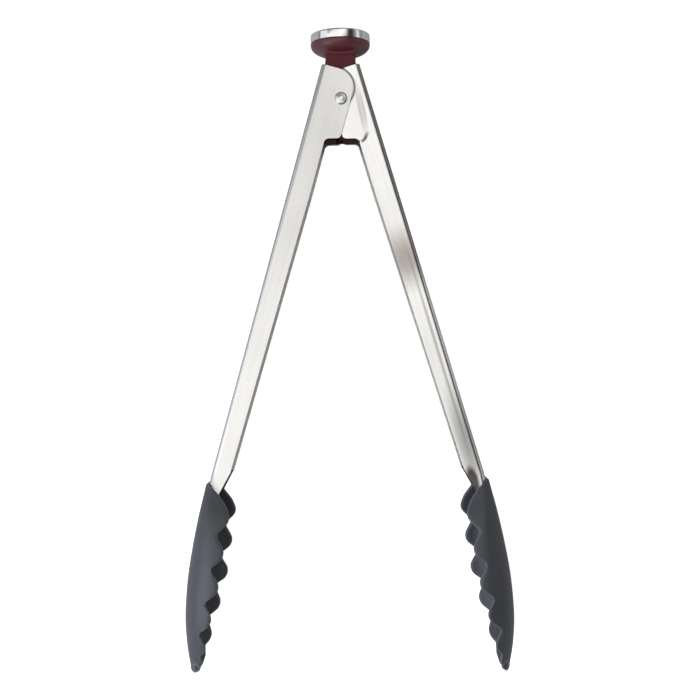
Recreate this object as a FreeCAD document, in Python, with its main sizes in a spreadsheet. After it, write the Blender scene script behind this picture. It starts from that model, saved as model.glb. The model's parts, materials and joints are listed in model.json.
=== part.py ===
import FreeCAD, Part
import math
import os

import Sketcher
from FreeCAD import Placement, Rotation, Vector

# Spring loaded kitchen tongs, lying flat: +Z up, +Y along the tongs towards the knob, X across.
# Each arm is drawn in its own frame, with the pivot at the origin, the arm running along -Y and
# its spine on the +X side (side = 1, right) or the -X side (side = -1, left).

DIMENSIONS = [
    ("half_opening", 16.0, "angle of each arm from the centre line when open, degrees"),
    ("pivot_y", 115.2, "pivot along the tongs, from the origin"),
    ("pivot_z", 22.07, "pivot axis middle above the surface"),
    ("channel_width", 20.0, "outside width of an arm's channel"),
    ("gauge", 0.9, "steel sheet"),
    ("spine_offset", 12.6, "pivot to an arm's outer spine face"),
    ("bend_radius", 2.3, "outside radius of the channel's bends"),
    ("arm_top", 12.9, "end of the arm above the pivot"),
    ("ear_radius", 9.0, "round of the ear's top"),
    ("ear_reach", 4.4, "ear edge beyond the pivot"),
    ("ear_drop", 18.0, "ear's lower edge below the pivot, open"),
    ("ear_corner", 2.2, "round of the ear's lower corners"),
    ("joggle", 1.1, "step of the inner ears"),
    ("joggle_corner", 4.6, "round of the step's lower corner"),
    ("spine_room", 9.1, "pivot to where the room behind the spine widens, above the step's lower edge"),
    ("step_drop", 22.1, "step's lower edge below the pivot"),
    ("step_slope", 60.0, "slope of the step, degrees"),
    ("ear_gap", 2.35, "from the outer ear's top to the step's upper edge"),
    ("step_lean", 5.0, "step line from the arm's length, degrees"),
    ("wall_near", 10.4, "side wall height under the ears"),
    ("wall_far", 8.3, "side wall height at the heads"),
    ("channel_end", 176.2, "pivot to where the channel starts to flare"),
    ("dimple_up", 5.5, "lock dimple above the pivot"),
    ("dimple_radius", 1.9, "lock dimple's ball"),
    ("dimple_depth", 1.5, "lock dimple's height inside"),
    ("pin_radius", 2.0, "rivet shank"),
    ("pin_play", 0.05, "running clearance of the rivet"),
    ("rivet_radius", 2.85, "rivet head"),
    ("rivet_dome", 1.2, "rivet head's height"),
    ("washer_radius", 3.7, "washer"),
    ("washer_gauge", 0.6, "washer's thickness"),
    ("sleeve_radius", 2.9, "spacer sleeve"),
    ("wire_radius", 0.65, "spring wire"),
    ("coil_radius", 3.9, "spring coil's middle line"),
    ("coil_pitch", 1.42, "spring coil's rise per turn"),
    ("leg_angle", 32.0, "spring leg from the centre line, degrees"),
    ("slider_half", 6.75, "lock slider's half width"),
    ("slider_depth", 15.7, "lock slider, front to back"),
    ("travel", 5.0, "lock slider's travel"),
    ("knob_radius", 13.6, "knob"),
    ("knob_under", 21.1, "knob's underside above the pivot"),
    ("band_bottom", 26.9, "steel cap's lower edge above the pivot"),
    ("band_height", 4.3, "steel cap's height"),
    ("cap_gauge", 0.6, "steel cap's sheet"),
    ("collar", 183.0, "pivot to the silicone's edge on the spine"),
    ("tip", 270.5, "pivot to the tip along the arm"),
    ("skin_outer", 1.3, "silicone outside the steel"),
    ("skin_inner", 0.8, "silicone inside the steel"),
    ("scallop_pitch", 14.95, "from one scallop to the next"),
]

doc = FreeCAD.newDocument("kitchen_tongs")
sheet = doc.addObject("Spreadsheet::Sheet", "dims")
for row, (alias, value, meaning) in enumerate(DIMENSIONS, start=1):
    sheet.set(f"A{row}", meaning)
    sheet.set(f"B{row}", str(value))
    sheet.setAlias(f"B{row}", alias)
doc.recompute()


def dim(alias):
    return float(sheet.get(alias))


PIVOT = Vector(0, dim("pivot_y"), dim("pivot_z"))
TURN = Vector(0, 0, 1)
LONG = 500.0
CENTRE = Placement(PIVOT, Rotation())


def arm_place(side):
    return Placement(PIVOT, Rotation(TURN, side * dim("half_opening")))


# ---------------------------------------------------------------- outlines

def corner_arc(before, here, after, radius):
    """Start, arc and end of the round that joins two straight edges at a corner."""
    back = (before - here).normalize()
    ahead = (after - here).normalize()
    half = back.getAngle(ahead) / 2
    reach = radius / math.tan(half)
    start, end = here + back * reach, here + ahead * reach
    middle = here + (back + ahead).normalize() * (radius / math.sin(half) - radius)
    return start, Part.Arc(start, middle, end), end


def rounded_outline(corners):
    """Edges of a closed outline through corners (x, y, radius), each corner rounded by its radius."""
    count = len(corners)
    points = [Vector(x, y, 0) for x, y, radius in corners]
    joins = []
    for i, here in enumerate(points):
        radius = corners[i][2]
        if radius > 0:
            joins.append(corner_arc(points[i - 1], here, points[(i + 1) % count], radius))
        else:
            joins.append((here, None, here))
    edges = []
    for i, (start, arc, end) in enumerate(joins):
        if arc:
            edges.append(arc)
        following = joins[(i + 1) % count][0]
        if end.distanceToPoint(following) > 1e-6:
            edges.append(Part.LineSegment(end, following))
    return edges


def mirrored(corners, side):
    return [(side * x, y, radius) for x, y, radius in corners]


def plane(body, role):
    for feature in body.Origin.OriginFeatures:
        if feature.Role == role:
            return feature
    raise ValueError(role)


def add_sketch(body, name, edges, role="XY_Plane"):
    sketch = body.newObject("Sketcher::SketchObject", name)
    sketch.AttachmentSupport = (plane(body, role), "")
    sketch.MapMode = "FlatFace"
    for edge in edges:
        sketch.addGeometry(edge, False)
    return sketch


def both_ways(feature, length):
    """Runs a pad or pocket the same distance to both sides of its sketch."""
    feature.SideType = "Symmetric"
    feature.setExpression("Length", length)


def add_pad(body, name, sketch, length):
    pad = body.newObject("PartDesign::Pad", name)
    pad.Profile = sketch
    both_ways(pad, length)
    doc.recompute()
    return pad


def add_pocket(body, name, sketch, length):
    before = body.Shape.Volume
    pocket = body.newObject("PartDesign::Pocket", name)
    pocket.Profile = sketch
    both_ways(pocket, length)
    doc.recompute()
    if not body.Shape.Volume < before:
        raise ValueError(name + " cut nothing")
    return pocket


def add_fillet(body, name, feature, wanted, radius):
    """Rounds the edges of feature that the test wanted(edge) picks."""
    picked = [f"Edge{i}" for i, edge in enumerate(feature.Shape.Edges, start=1) if wanted(edge)]
    if not picked:
        raise ValueError(name + " found no edge")
    fillet = body.newObject("PartDesign::Fillet", name)
    fillet.Base = (feature, picked)
    fillet.setExpression("Radius", radius)
    doc.recompute()
    return fillet


def new_body(name):
    body = doc.addObject("PartDesign::Body", name)
    body.Label = name
    return body


# ---------------------------------------------------------------- arms

def channel_outline():
    """Side view of an arm: spine, round ear top, ear, side wall's free edge."""
    spine = dim("spine_offset")
    top = dim("arm_top")
    reach = -dim("ear_reach")
    angle = math.radians(dim("half_opening"))
    end = -dim("channel_end")
    near = spine - dim("wall_near")

    def ear_bottom(x):
        return (-dim("ear_drop") - x * math.sin(angle)) / math.cos(angle)

    return [
        (spine, top, 0),
        (reach, top, dim("ear_radius")),
        (reach, ear_bottom(reach), dim("ear_corner")),
        (near, ear_bottom(near), dim("ear_corner")),
        (near, -45.0, 0),
        (spine - dim("wall_far"), end, 0),
        (spine, end, 0),
    ]


def outer_ear_middle():
    """Middle of the left ear's round top, in the right arm's frame, when the tongs are open."""
    angle = math.radians(2 * dim("half_opening"))
    ear_x = dim("ear_reach") - dim("ear_radius")
    ear_y = dim("arm_top") - dim("ear_radius")
    return Vector(ear_x * math.cos(angle) + ear_y * math.sin(angle),
                  ear_y * math.cos(angle) - ear_x * math.sin(angle), 0)


def step_outline():
    """The ears' pressed-in area: round the outer ear's top, down the step line, round to the free edge."""
    room = dim("ear_radius") + dim("ear_gap")
    lean = math.radians(dim("step_lean"))
    middle = outer_ear_middle()
    above = dim("arm_top") + 1.5
    crest_angle = math.asin((above - middle.y) / room)

    def on_round(turn):
        return middle + Vector(math.cos(turn), math.sin(turn), 0) * room

    low, outside = -dim("step_drop"), -14.0
    crest, shoulder = on_round(crest_angle), on_round(-lean)
    corner = Vector(shoulder.x - (shoulder.y - low) * math.tan(lean), low, 0)
    low_end, high_end = Vector(outside, low, 0), Vector(outside, above, 0)
    turn, arc, foot = corner_arc(shoulder, corner, low_end, dim("joggle_corner"))
    return [
        Part.Arc(crest, on_round((crest_angle - lean) / 2), shoulder),
        Part.LineSegment(shoulder, turn),
        arc,
        Part.LineSegment(foot, low_end),
        Part.LineSegment(low_end, high_end),
        Part.LineSegment(high_end, crest),
    ]


def long_edge(x, z):
    """Test for the straight edge along Y at the given x and height above or below the middle."""
    def test(edge):
        middle = edge.CenterOfMass
        box = edge.BoundBox
        return (box.YLength > 20 and box.XLength < 1e-3 and abs(middle.x - x) < 1e-3
                and abs(abs(middle.z) - z) < 1e-3)
    return test


def hollow_along(body, name, inner, far, half):
    """Cuts the channel's room along its whole length, rounded where the spine meets the walls."""
    corner = dim("bend_radius") - dim("gauge")
    profile = [(inner, half, corner), (far, half, 0), (far, -half, 0), (inner, -half, corner)]
    sketch = add_sketch(body, name + "_profile", rounded_outline(profile), "XZ_Plane")
    add_pocket(body, name, sketch, f"{LONG}")


def make_channel(name, side, joggled):
    """An arm's folded sheet: a solid of its side outline, rounded at the bends, then hollowed."""
    half = dim("channel_width") / 2
    gauge = dim("gauge")
    spine = side * dim("spine_offset")
    inner = side * (dim("spine_offset") - gauge)
    far = -side * 14.0
    body = new_body(name)
    outline = rounded_outline(mirrored(channel_outline(), side))
    block = add_pad(body, name + "_block", add_sketch(body, name + "_outline", outline),
                    "dims.channel_width")
    add_fillet(body, name + "_bends", block, long_edge(spine, half), "dims.bend_radius")
    if joggled:
        for face in (1, -1):
            sketch = add_sketch(body, f"{name}_step{face}", step_outline())
            sketch.AttachmentOffset = Placement(Vector(0, 0, face * half), Rotation())
            step = body.newObject("PartDesign::Pocket", f"{name}_pressed{face}")
            step.Profile = sketch
            step.Reversed = face < 0
            step.setExpression("Length", "dims.joggle")
            step.TaperAngle = -dim("step_slope")
            doc.recompute()
        step_x = side * dim("spine_room")
        low = -dim("step_drop") - gauge
        hollow_along(body, name + "_ear_room", inner, far, half - gauge - dim("joggle"))
        hollow_along(body, name + "_spine_room", inner, step_x, half - gauge)
        below = [(step_x + side, low, 0), (far, low, 0), (far, -LONG / 2, 0),
                 (step_x + side, -LONG / 2, 0)]
        sketch = add_sketch(body, name + "_arm_outline", rounded_outline(below))
        add_pocket(body, name + "_arm_room", sketch, "dims.channel_width - 2 * dims.gauge")
    else:
        hollow_along(body, name + "_room", inner, far, half - gauge)
    hole = body.newObject("Sketcher::SketchObject", name + "_hole")
    hole.AttachmentSupport = (plane(body, "XY_Plane"), "")
    hole.MapMode = "FlatFace"
    hole.addGeometry(Part.Circle(Vector(), TURN, 1.0), False)
    hole.addConstraint(Sketcher.Constraint("Coincident", 0, 3, -1, 1))
    hole.addConstraint(Sketcher.Constraint("Radius", 0, 1.0))
    hole.renameConstraint(1, "radius")
    hole.setExpression("Constraints.radius", "dims.pin_radius + dims.pin_play")
    add_pocket(body, name + "_rivet_hole", hole, "2 * dims.channel_width")
    return body


# ---------------------------------------------------------------- spoon heads

# Outside of a silicone head at stations along the arm: distance from the pivot, back of the head,
# half width, round of the back's corners. The steel and the inside follow it at an even depth.
SPOON = [
    (177.0, 13.9, 11.3, 3.6), (182.0, 13.8, 12.1, 4.1),
    (188.0, 13.55, 14.2, 5.5), (196.0, 13.25, 17.8, 8.0), (205.0, 12.75, 20.4, 10.8),
    (215.0, 12.0, 21.8, 13.0), (226.0, 10.85, 22.0, 14.5), (237.0, 8.95, 21.1, 14.5),
    (247.0, 6.7, 18.7, 13.5), (255.0, 4.3, 15.2, 11.5), (262.0, 1.6, 10.8, 8.0),
    (267.0, -0.9, 6.4, 4.8), (269.5, -2.4, 3.3, 2.5), (270.5, -3.2, 1.3, 0.9),
]
STRAIGHT = 8.0
TIP_FROM = 240.0
NARROWEST = 1.0


def spoon_section(along, back, half, corner, rim):
    """Closed U of one station: flat back, round corners, straight sides, closed at the rim plane."""
    slant = corner * (1 - math.sqrt(0.5))
    low = back - corner

    def at(x, z):
        return Vector(x, -along, z)

    edges = [
        Part.LineSegment(at(rim, -half), at(low, -half)),
        Part.Arc(at(low, -half), at(back - slant, -half + slant), at(back, -half + corner)),
        Part.LineSegment(at(back, -half + corner), at(back, half - corner)),
        Part.Arc(at(back, half - corner), at(back - slant, half - slant), at(low, half)),
        Part.LineSegment(at(low, half), at(rim, half)),
        Part.LineSegment(at(rim, half), at(rim, -half)),
    ]
    return Part.Wire([edge.toShape() for edge in edges])


def spoon_solid(depth, rim):
    """Solid spoon whose surface lies depth below the silicone's outside, open side at x = rim.

    It starts with a straight length that runs on from the channel.
    """
    tip = dim("tip")
    shrink = (tip - TIP_FROM - 1.3 * depth) / (tip - TIP_FROM)
    sections = []
    for along, back, half, corner in SPOON:
        if half - depth < NARROWEST:
            continue
        if along > TIP_FROM:
            along = TIP_FROM + (along - TIP_FROM) * shrink
        inner_corner = min(max(corner - depth, 0.5), half - depth - 0.2)
        sections.append(spoon_section(along, back - depth, half - depth, inner_corner, rim))
    straight = Part.Face(sections[0]).extrude(Vector(0, STRAIGHT, 0))
    return Part.makeLoft(sections, True, False).fuse(straight)


def scallop_outline():
    """Side view of a head: collar, first round, five scallops, tip lip, closed behind the back."""
    pitch = dim("scallop_pitch")
    first = 195.6
    peaks = [-1.8, -4.2, -6.4, -6.4, -6.2]
    valleys = [2.6, 1.4, 0.0, -1.0]
    corners = [(30.0, -dim("collar"), 0), (dim("spine_offset"), -dim("collar"), 0),
               (6.8, -186.3, 0), (2.0, -190.2, 5.0)]
    for i, peak in enumerate(peaks):
        corners.append((peak, -(first + i * pitch), 5.0))
        if i < len(valleys):
            corners.append((valleys[i], -(first + (i + 0.5) * pitch), 2.0))
    corners += [(-3.7, -260.0, 1.2), (-4.9, -264.0, 3.0), (-5.0, -275.0, 0), (30.0, -275.0, 0)]
    return corners


def core_outline():
    """Side view of the steel inside a head, with the tapered neck that shows above the collar."""
    spine = dim("spine_offset")
    return [(spine + 5, -dim("channel_end") + 0.5, 0),
            (spine - dim("wall_far"), -dim("channel_end") + 0.5, 0), (6.7, -186.0, 0),
            (5.4, -203.0, 0), (4.4, -218.0, 0), (3.1, -233.0, 0), (1.8, -248.0, 0),
            (-0.4, -258.0, 0), (-0.4, -263.5, 0), (spine + 5, -263.5, 0)]


def solid_slab(corners, half):
    face = Part.Face(Part.Wire([edge.toShape() for edge in rounded_outline(corners)]))
    return face.extrude(Vector(0, 0, 2 * half)).translated(Vector(0, 0, -half))


def turned_to(shape, side):
    return shape if side > 0 else shape.mirror(Vector(), Vector(1, 0, 0))


def add_shape(name, shape, placement):
    feature = doc.addObject("Part::Feature", name)
    feature.Label = name
    feature.Shape = shape
    feature.Placement = placement
    return feature


def make_core():
    under = spoon_solid(dim("skin_outer"), -12.0)
    over = spoon_solid(dim("skin_outer") + dim("gauge"), -13.0)
    return under.cut(over).common(solid_slab(core_outline(), 30.0))


def make_head(core):
    outside = spoon_solid(0.0, -9.0)
    inside = spoon_solid(dim("skin_outer") + dim("gauge") + dim("skin_inner"), -10.0)
    shell = outside.cut(inside).common(solid_slab(scallop_outline(), 30.0))
    return shell.cut(core)


def make_arm(name, side, channel, core):
    """Channel, spoon core and lock dimple as one sheet."""
    spine = dim("spine_offset")
    radius = dim("dimple_radius")
    middle = Vector(spine - dim("gauge") - dim("dimple_depth") + radius, dim("dimple_up"), 0)
    ball = Part.makeSphere(radius, middle)
    inside = Part.makeBox(10, 20, 20, Vector(spine - 10 - 0.2, -5, -10))
    dent = Part.makeSphere(radius - dim("gauge"), middle)
    dimple = turned_to(ball.common(inside), side)
    arm = channel.Shape.fuse([turned_to(core, side), dimple]).cut(turned_to(dent, side))
    return add_shape(name, arm.removeSplitter(), arm_place(side))


# ---------------------------------------------------------------- pivot

def add_primitive(kind, name, sizes, placement=Placement()):
    primitive = doc.addObject(kind, name)
    for size, expression in sizes.items():
        primitive.setExpression(size, expression)
    primitive.Placement = placement
    return primitive


def add_boolean(kind, name, links):
    joined = doc.addObject(kind, name)
    for link, target in links.items():
        setattr(joined, link, target)
    return joined


def shifted(z, flip=False):
    turn = Rotation(Vector(1, 0, 0), 180) if flip else Rotation()
    return Placement(Vector(0, 0, z), turn)


def make_dome(name, start, flip):
    """Low round head: a cap of a ball standing on a short round edge."""
    radius, height = dim("rivet_radius"), dim("rivet_dome")
    ball = (radius ** 2 + height ** 2) / (2 * height)
    sign = -1 if flip else 1
    sphere = add_primitive("Part::Sphere", name + "_ball", {})
    sphere.Radius = ball
    sphere.Placement = shifted(start + sign * (height - ball))
    disc = add_primitive("Part::Cylinder", name + "_disc",
                         {"Radius": "dims.rivet_radius", "Height": "dims.rivet_dome"},
                         shifted(start, flip))
    return add_boolean("Part::MultiCommon", name, {"Shapes": [sphere, disc]})


def make_rivet():
    """Domed rivet: shank through both ears, its lower end clinched over the washer."""
    ear = dim("channel_width") / 2
    low = -ear - 0.1 - dim("washer_gauge")
    shank = add_primitive("Part::Cylinder", "shank", {"Radius": "dims.pin_radius"}, shifted(low))
    shank.Height = ear + 0.05 - low
    head = make_dome("rivet_head", ear + 0.05, False)
    clinch = make_dome("rivet_clinch", low, True)
    rivet = add_boolean("Part::MultiFuse", "pivot_rivet", {"Shapes": [shank, head, clinch]})
    rivet.Placement = CENTRE
    return rivet


def make_ring(name, outer, inner, height, low):
    """Round tube along the pivot, such as the washer or the sleeve."""
    disc = add_primitive("Part::Cylinder", name + "_disc", {"Radius": outer, "Height": height})
    hole = add_primitive("Part::Cylinder", name + "_bore", {"Radius": inner, "Height": height})
    ring = add_boolean("Part::Cut", name, {"Base": disc, "Tool": hole})
    ring.Placement = Placement(PIVOT + Vector(0, 0, low), Rotation())
    return ring


def make_spring():
    """Torsion spring round the sleeve: turns wound over the top, a straight leg to each spine."""
    wire, radius = dim("wire_radius"), dim("coil_radius")
    lean = math.radians(dim("leg_angle"))
    open_angle = math.radians(dim("half_opening"))
    turns = 3 + (math.pi - 2 * lean) / (2 * math.pi)
    pitch = dim("coil_pitch")
    rise = pitch * turns
    coil = Part.makeHelix(pitch, rise, radius)
    circle = Part.Wire(Part.makeCircle(wire, Vector(radius, 0, 0), Vector(0, 1, 0)))
    winding = Part.Wire(coil.Edges).makePipeShell([circle], True, True)
    winding = winding.rotate(Vector(), TURN, math.degrees(lean)).translated(Vector(0, 0, -rise / 2))
    clear = dim("spine_offset") - dim("gauge") - wire - 0.15
    start = Vector(radius * math.cos(lean), radius * math.sin(lean), 0)
    way = Vector(math.sin(lean), -math.cos(lean), 0)
    outward = Vector(math.cos(open_angle), math.sin(open_angle), 0)
    reach = (clear - start.dot(outward)) / way.dot(outward)
    legs = []
    for side, height in ((1, -rise / 2), (-1, rise / 2)):
        root = Vector(side * start.x, start.y, height)
        along = Vector(side * way.x, way.y, 0)
        legs += [Part.makeCylinder(wire, reach, root, along), Part.makeSphere(wire, root),
                 Part.makeSphere(wire, root + along * reach)]
    return add_shape("torsion_spring", winding.fuse(legs), CENTRE)


# ---------------------------------------------------------------- lock

def make_slider():
    """Lock slider: knob bowl, neck, a bar with a slot for the sleeve, side rungs and two foot lobes."""
    half = dim("slider_half")
    under, bottom = dim("knob_under"), -20.3
    body = new_body("lock_slider")
    lobe, lobe_top, notch = 7.8, -16.3, 1.6
    right = [(6.15, under + 2.5, 0), (7.05, 15.9, 0.4), (half, 15.5, 0), (half, lobe_top, 0.5),
             (lobe, lobe_top - 1.0, 0.6), (lobe, bottom, 1.8), (1.9, bottom, 1.2)]
    outline = right + [(0.0, bottom + notch, 0)] + [(-x, y, r) for x, y, r in reversed(right)]
    bar = add_sketch(body, "bar_outline", rounded_outline(outline))
    add_pad(body, "bar", bar, "dims.slider_depth")
    knob = dim("knob_radius")
    bowl, deep, top = 9.2, 5.0, dim("band_bottom") - 0.1
    spigot = knob - dim("cap_gauge") - 0.05
    spigot_top = dim("band_bottom") + dim("band_height") - dim("cap_gauge") - 0.1
    points = [Vector(0, under, 0), Vector(knob - bowl, under, 0), Vector(knob, under + deep, 0),
              Vector(knob, top, 0), Vector(spigot, top, 0), Vector(spigot, spigot_top, 0),
              Vector(0, spigot_top, 0)]
    round_bowl = Part.Ellipse(Vector(knob - bowl, under + deep, 0), bowl, deep)
    profile = [Part.LineSegment(points[0], points[1]), Part.ArcOfEllipse(round_bowl, -math.pi / 2, 0)]
    profile += [Part.LineSegment(points[i], points[(i + 1) % 7]) for i in range(2, 7)]
    disc = add_sketch(body, "knob_profile", profile)
    turned = body.newObject("PartDesign::Revolution", "knob_disc")
    turned.Profile = disc
    turned.ReferenceAxis = (disc, ["V_Axis"])
    turned.Angle = 360
    doc.recompute()
    cheek = 5.2
    window = [(12, 5.4, 0), (12, bottom - 2, 0), (5.5, bottom - 2, 0), (5.5, lobe_top, 0.6),
              (-5.5, lobe_top, 0.6), (-5.5, bottom - 2, 0), (-12, bottom - 2, 0), (-12, 5.4, 0)]
    opening = add_sketch(body, "spring_room", rounded_outline(window))
    add_pocket(body, "spring_window", opening, f"{2 * cheek}")
    clear = dim("sleeve_radius") + 0.08
    slot = [(clear, clear, clear - 0.01), (clear, -clear - dim("travel"), clear - 0.01),
            (-clear, -clear - dim("travel"), clear - 0.01), (-clear, clear, clear - 0.01)]
    add_pocket(body, "pin_slot", add_sketch(body, "slot_outline", rounded_outline(slot)),
               "2 * dims.slider_depth")
    for side in (1, -1):
        rung = [(side * (half - 1.0), -0.45, 0), (side * 9.9, -0.45, 0.3), (side * 9.9, 1.15, 0.3),
                (side * (half - 1.0), 1.15, 0)]
        add_pad(body, f"rung{side}", add_sketch(body, f"rung_outline{side}", rounded_outline(rung)),
                "dims.slider_depth")
    deep_half = dim("slider_depth") / 2
    slope = [(bottom, deep_half, 0), (bottom + 3.4, -deep_half - 0.5, 0),
             (bottom - 2, -deep_half - 0.5, 0), (bottom - 2, deep_half, 0)]
    slope_sketch = add_sketch(body, "foot_slope_outline", rounded_outline(slope), "YZ_Plane")
    add_pocket(body, "foot_slope", slope_sketch, "dims.channel_width")
    body.Placement = CENTRE
    return body


def make_cap():
    """Steel cup over the knob, its rim flush with the bowl below."""
    outer, gauge = dim("knob_radius"), dim("cap_gauge")
    low = dim("band_bottom")
    top = low + dim("band_height")
    edge = 0.9
    slant = edge * (1 - math.sqrt(0.5))
    body = new_body("knob_cap")
    corner = Vector(outer - slant, top - slant, 0)
    points = [Vector(outer, low, 0), Vector(outer - gauge, low, 0), Vector(outer - gauge, top - gauge, 0),
              Vector(0, top - gauge, 0), Vector(0, top, 0), Vector(outer - edge, top, 0),
              Vector(outer, top - edge, 0)]
    profile = [Part.LineSegment(points[i], points[i + 1]) for i in range(5)]
    profile += [Part.Arc(points[5], corner, points[6]), Part.LineSegment(points[6], points[0])]
    outline = add_sketch(body, "cap_profile", profile)
    turned = body.newObject("PartDesign::Revolution", "cap_turned")
    turned.Profile = outline
    turned.ReferenceAxis = (outline, ["V_Axis"])
    turned.Angle = 360
    doc.recompute()
    body.Placement = CENTRE
    return body


core = make_core()
head = make_head(core)
left_channel = make_channel("left_channel", -1, False)
right_channel = make_channel("right_channel", 1, True)
ear_face = dim("channel_width") / 2
inner_ear = ear_face - dim("gauge") - dim("joggle")
parts = [
    make_arm("left_arm", -1, left_channel, core),
    make_arm("right_arm", 1, right_channel, core),
    add_shape("left_head", turned_to(head, -1), arm_place(-1)),
    add_shape("right_head", head, arm_place(1)),
    make_rivet(),
    make_ring("rivet_washer", "dims.washer_radius", "dims.pin_radius + dims.pin_play",
              "dims.washer_gauge", -ear_face - 0.05 - dim("washer_gauge")),
    make_ring("pivot_sleeve", "dims.sleeve_radius", "dims.pin_radius + dims.pin_play",
              "dims.channel_width - 2 * dims.gauge - 2 * dims.joggle - 0.2", 0.1 - inner_ear),
    make_spring(),
    make_slider(),
    make_cap(),
]
doc.recompute()

for item in doc.Objects:
    if "Invalid" in item.State or "Error" in item.State:
        raise RuntimeError(f"{item.Name} failed: {item.State}")
for item in parts:
    if item.Shape.isNull() or not item.Shape.isValid():
        raise RuntimeError(f"{item.Label} has no valid shape")

os.makedirs("parts", exist_ok=True)
for item in parts:
    box = item.Shape.BoundBox
    print(f"{item.Label:16s} {len(item.Shape.Solids)} solid {item.Shape.Volume:9.1f} mm3  "
          f"x {box.XMin:.2f}..{box.XMax:.2f} y {box.YMin:.2f}..{box.YMax:.2f} z {box.ZMin:.2f}..{box.ZMax:.2f}")
    item.Shape.exportStep(f"parts/{item.Label}.step")
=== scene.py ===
import json
import math

import bpy
import numpy as np
from mathutils import Matrix, Vector
from mathutils.bvhtree import BVHTree


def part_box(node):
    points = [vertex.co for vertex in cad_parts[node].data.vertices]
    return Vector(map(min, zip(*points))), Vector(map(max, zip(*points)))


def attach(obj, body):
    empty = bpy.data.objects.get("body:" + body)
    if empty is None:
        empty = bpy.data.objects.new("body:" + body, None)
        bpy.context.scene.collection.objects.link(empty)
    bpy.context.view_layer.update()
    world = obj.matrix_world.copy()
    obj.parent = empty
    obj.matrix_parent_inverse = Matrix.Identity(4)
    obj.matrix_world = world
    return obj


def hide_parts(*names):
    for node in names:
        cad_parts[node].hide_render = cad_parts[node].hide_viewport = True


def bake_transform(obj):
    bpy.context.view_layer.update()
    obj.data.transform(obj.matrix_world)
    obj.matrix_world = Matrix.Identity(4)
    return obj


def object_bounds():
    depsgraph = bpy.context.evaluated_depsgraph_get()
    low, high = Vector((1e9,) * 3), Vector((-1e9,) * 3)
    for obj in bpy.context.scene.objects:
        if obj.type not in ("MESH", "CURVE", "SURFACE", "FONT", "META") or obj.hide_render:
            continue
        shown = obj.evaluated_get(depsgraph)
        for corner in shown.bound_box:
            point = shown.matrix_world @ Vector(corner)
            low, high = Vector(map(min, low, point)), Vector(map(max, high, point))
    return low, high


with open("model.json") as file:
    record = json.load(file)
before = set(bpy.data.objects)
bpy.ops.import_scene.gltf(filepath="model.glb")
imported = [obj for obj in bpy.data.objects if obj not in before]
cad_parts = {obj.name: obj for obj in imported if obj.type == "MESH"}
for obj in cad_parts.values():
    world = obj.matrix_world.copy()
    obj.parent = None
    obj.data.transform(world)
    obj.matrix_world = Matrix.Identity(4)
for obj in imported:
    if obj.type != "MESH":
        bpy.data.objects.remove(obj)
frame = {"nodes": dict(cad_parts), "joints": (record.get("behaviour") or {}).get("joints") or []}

cad_low, cad_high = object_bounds()
OPEN_ANGLE = math.radians(16.0)


def joint(name):
    return next(j for j in frame["joints"] if j["name"] == name)


def tong_body(side):
    return "right_tong" if side > 0 else "left_tong"


def arm_place(side):
    """Turns a piece drawn along -Y from the origin onto an arm as it stands open."""
    return Matrix.Translation(PIVOT) @ Matrix.Rotation(side * OPEN_ANGLE, 4, "Z")


PIVOT = Vector(joint("arm_hinge")["pos_m"])
MM = 0.001


def deselect():
    if bpy.context.object and bpy.context.object.mode != "OBJECT":
        bpy.ops.object.mode_set(mode="OBJECT")
    bpy.ops.object.select_all(action="DESELECT")


def only(piece):
    deselect()
    piece.select_set(True)
    bpy.context.view_layer.objects.active = piece


def settle(piece, angle=35):
    """Place goes into the mesh, faces point outwards, soft shading up to the angle."""
    only(piece)
    bpy.ops.object.transform_apply(location=True, rotation=True, scale=True)
    bpy.ops.object.mode_set(mode="EDIT")
    bpy.ops.mesh.select_all(action="SELECT")
    bpy.ops.mesh.normals_make_consistent(inside=False)
    bpy.ops.object.mode_set(mode="OBJECT")
    bpy.ops.object.shade_smooth_by_angle(angle=math.radians(angle))


def apply_modifier(piece, kind, **settings):
    only(piece)
    modifier = piece.modifiers.new(kind.lower(), kind)
    for key, value in settings.items():
        setattr(modifier, key, value)
    bpy.ops.object.modifier_apply(modifier=modifier.name)


# ------------------------------------------------------------ stage

def area_light(name, place, aim, size, power, colour):
    bpy.ops.object.light_add(type="AREA", location=place)
    lamp = bpy.context.object
    lamp.name = name
    lamp.data.shape = "RECTANGLE"
    lamp.data.size, lamp.data.size_y = size
    lamp.data.energy = power
    lamp.data.color = colour
    lamp.rotation_euler = (Vector(aim) - Vector(place)).to_track_quat("-Z", "Y").to_euler()


def make_floor():
    """White paper, full white to the eye and a calmer grey in what the steel mirrors."""
    bpy.ops.mesh.primitive_plane_add(size=6.0, location=(0, 0, cad_low.z - 0.0002))
    floor = bpy.context.object
    floor.name = "floor"
    paper = bpy.data.materials.new("white_paper")
    paper.use_nodes = True
    tree = paper.node_tree
    shader = tree.nodes["Principled BSDF"]
    shader.inputs["Base Color"].default_value = (0.72, 0.72, 0.72, 1)
    shader.inputs["Roughness"].default_value = 0.9
    glow = tree.nodes.new("ShaderNodeEmission")
    glow.inputs["Color"].default_value = (1, 1, 1, 1)
    glow.inputs["Strength"].default_value = 0.85
    both = tree.nodes.new("ShaderNodeAddShader")
    tree.links.new(shader.outputs[0], both.inputs[0])
    tree.links.new(glow.outputs[0], both.inputs[1])
    seen = tree.nodes.new("ShaderNodeLightPath")
    choice = tree.nodes.new("ShaderNodeMixShader")
    tree.links.new(seen.outputs["Is Camera Ray"], choice.inputs[0])
    tree.links.new(shader.outputs[0], choice.inputs[1])
    tree.links.new(both.outputs[0], choice.inputs[2])
    tree.links.new(choice.outputs[0], tree.nodes["Material Output"].inputs["Surface"])
    floor.data.materials.append(paper)


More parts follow.
